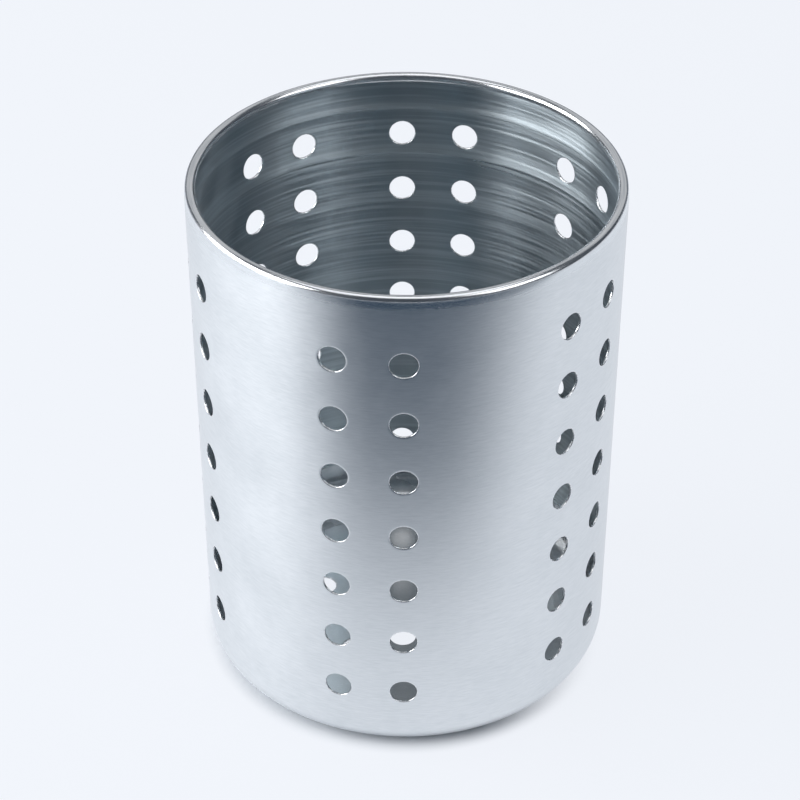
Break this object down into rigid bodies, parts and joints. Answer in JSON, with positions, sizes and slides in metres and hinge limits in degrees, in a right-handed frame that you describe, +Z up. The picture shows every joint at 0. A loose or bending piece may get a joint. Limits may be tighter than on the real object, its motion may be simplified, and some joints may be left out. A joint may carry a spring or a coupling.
{
  "type": "cutlery holder",
  "caption": "Round brushed steel cutlery cup with a perforated wall, a rolled rim and a rounded base with drain holes, for standing cutlery or utensils to drain.",
  "frame": {"origin": "centre of the standing ring, on the surface that the cup stands on", "axes": "+Z up along the cup's axis, -Y towards the viewer of the picture, +X to the viewer's right"},
  "size_m": [0.0978, 0.0978, 0.1271],
  "materials": {
    "wall_sheet": "brushed round the wall, bead polished",
    "base_sheet": "brushed round the heel, panel as pressed",
    "wire": "drawn wire"
  },
  "bodies": {
    "root": {"perforated_wall": "wall_sheet", "base_pan": "base_sheet", "rim_wire": "wire"}
  },
  "joints": []
}
